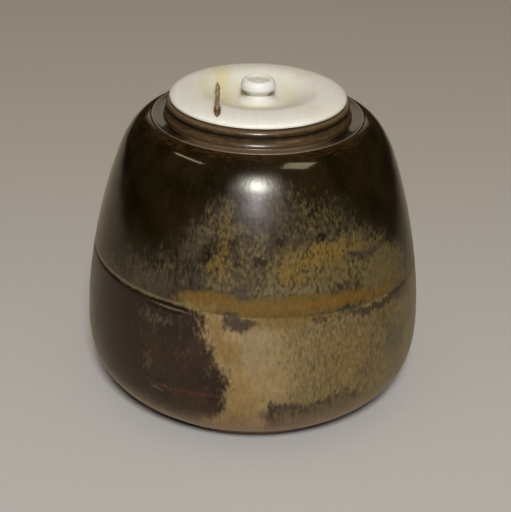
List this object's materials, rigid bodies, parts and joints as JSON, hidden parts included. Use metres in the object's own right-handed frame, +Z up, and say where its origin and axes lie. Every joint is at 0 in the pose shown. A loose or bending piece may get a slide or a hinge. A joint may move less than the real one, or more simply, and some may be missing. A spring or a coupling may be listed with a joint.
{
  "type": "tea caddy",
  "caption": "Small glazed stoneware jar for powdered tea, with rounded shoulders, an incised waist line, and a flat turned lid with a knob and a gold-leafed underside.",
  "frame": {"origin": "centre of the flat base, on the surface that the jar stands on", "axes": "+Z up along the axis of the jar, +X to the right and -Y towards the viewer when the lid's dark channel is to the left of the knob"},
  "size_m": [0.068, 0.068, 0.0669],
  "materials": {
    "glazed_stoneware": "glossy black-brown iron glaze with amber and olive runs, bare clay at the foot",
    "turned_lid": "polished ivory colour with a soft sheen and one dark natural channel",
    "gold_leafed_paper": "gold leaf on paper, satin"
  },
  "bodies": {
    "jar": {"jar_body": "glazed_stoneware"},
    "lid": {"lid": "turned_lid", "gold_leaf_lining": "gold_leafed_paper"}
  },
  "joints": [
    {"name": "lid_lift", "type": "slide", "parent": "jar", "child": "lid", "axis": [0, 0, 1], "range_m": [0, 0.06]}
  ]
}
